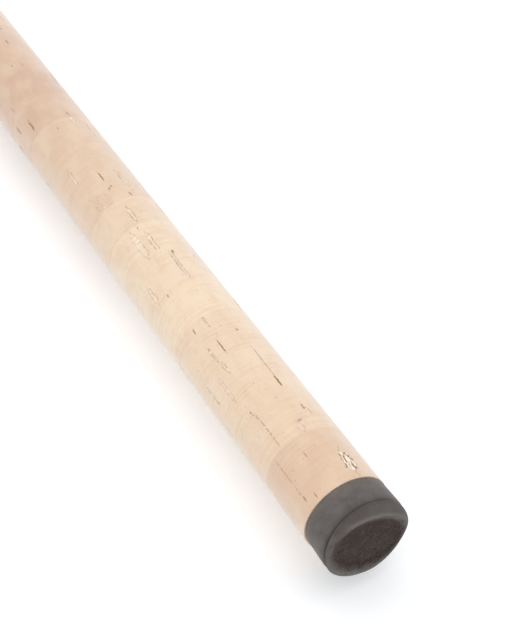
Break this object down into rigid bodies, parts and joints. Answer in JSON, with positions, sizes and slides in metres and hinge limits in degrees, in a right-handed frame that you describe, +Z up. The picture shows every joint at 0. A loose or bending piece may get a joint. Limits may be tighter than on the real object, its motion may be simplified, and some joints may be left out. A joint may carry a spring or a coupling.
{
  "type": "travel spinning rod",
  "caption": "Sectional spinning rod with a cork grip and foam butt cap, a reel seat with a sliding hood and lock nut, put-over ferrules and ring guides.",
  "frame": {"origin": "centre of the rod's bounding box in plan, at the level of the lowest point under the reel seat's hoods, which is the surface that the rod lies on", "axes": "+X along the rod from butt to tip, +Y towards the side that carries the reel and the guides, +Z up as the rod lies on a table"},
  "size_m": [1.829, 0.0466, 0.0254],
  "materials": {
    "cork": "matte",
    "dark_foam": "matte",
    "pale_foam": "matte",
    "dark_aluminium": "satin",
    "black_nylon": "satin",
    "steel": "satin",
    "graphite_blank": "gloss",
    "ceramic": "gloss",
    "wrap_thread": "gloss"
  },
  "bodies": {
    "butt_section": {"butt_cap": "dark_foam", "rear_cork_ring_01": "cork", "rear_cork_ring_02": "cork", "rear_cork_ring_03": "cork", "rear_cork_ring_04": "cork", "rear_cork_ring_05": "cork", "rear_cork_ring_06": "cork", "rear_cork_ring_07": "cork", "rear_cork_ring_08": "cork", "rear_cork_ring_09": "cork", "rear_cork_ring_10": "cork", "rear_cork_ring_11": "cork", "rear_cork_ring_12": "cork", "rear_cork_ring_13": "cork", "rear_cork_ring_14": "cork", "rear_cork_ring_15": "cork", "rear_cork_ring_16": "cork", "rear_cork_ring_17": "cork", "seat_trim_ring": "dark_aluminium", "reel_seat_body": "black_nylon", "seat_arbor_1": "pale_foam", "seat_arbor_2": "pale_foam", "fixed_hood": "steel", "front_cork_ring_1": "cork", "front_cork_ring_2": "cork", "front_cork_ring_3": "cork", "front_cork_ring_4": "cork", "front_cork_ring_5": "cork", "winding_check": "dark_aluminium", "hook_keeper": "steel", "hook_keeper_wrap_1": "wrap_thread", "hook_keeper_wrap_2": "wrap_thread", "blank_section_1": "graphite_blank"},
    "sliding_hood": {"sliding_hood": "steel"},
    "lock_nut": {"lock_nut": "black_nylon"},
    "second_section": {"blank_section_2": "graphite_blank", "ferrule_wrap_2": "wrap_thread", "guide_1_frame": "steel", "guide_1_ring": "ceramic", "guide_1_wrap_1": "wrap_thread", "guide_1_wrap_2": "wrap_thread"},
    "third_section": {"blank_section_3": "graphite_blank", "ferrule_wrap_3": "wrap_thread", "guide_2_frame": "steel", "guide_2_ring": "ceramic", "guide_2_wrap_1": "wrap_thread", "guide_2_wrap_2": "wrap_thread", "guide_3_frame": "steel", "guide_3_ring": "ceramic", "guide_3_wrap_1": "wrap_thread"},
    "tip_section": {"blank_section_4": "graphite_blank", "ferrule_wrap_4": "wrap_thread", "guide_4_frame": "steel", "guide_4_ring": "ceramic", "guide_4_wrap_1": "wrap_thread", "guide_5_frame": "steel", "guide_5_ring": "ceramic", "guide_5_wrap_1": "wrap_thread", "tip_top_frame": "steel", "tip_top_ring": "ceramic"}
  },
  "joints": [
    {"name": "hood_slide", "type": "slide", "parent": "butt_section", "child": "sliding_hood", "axis": [-1, 0, 0], "range_m": [0, 0.018]},
    {"name": "lock_nut_turn", "type": "hinge", "parent": "sliding_hood", "child": "lock_nut", "pos_m": [-0.5994, -0.0106, 0.0127], "axis": [-1, 0, 0], "range_deg": [0, 4320]},
    {"name": "ferrule_1", "type": "slide", "parent": "butt_section", "child": "second_section", "axis": [1, 0, 0], "range_m": [0, 0.06]},
    {"name": "ferrule_2", "type": "slide", "parent": "second_section", "child": "third_section", "axis": [1, 0, 0], "range_m": [0, 0.06]},
    {"name": "ferrule_3", "type": "slide", "parent": "third_section", "child": "tip_section", "axis": [1, 0, 0], "range_m": [0, 0.06]}
  ],
  "couplings": [
    {"joint": "hood_slide", "follows": "lock_nut_turn", "m_per_rad": 0.00023873}
  ]
}
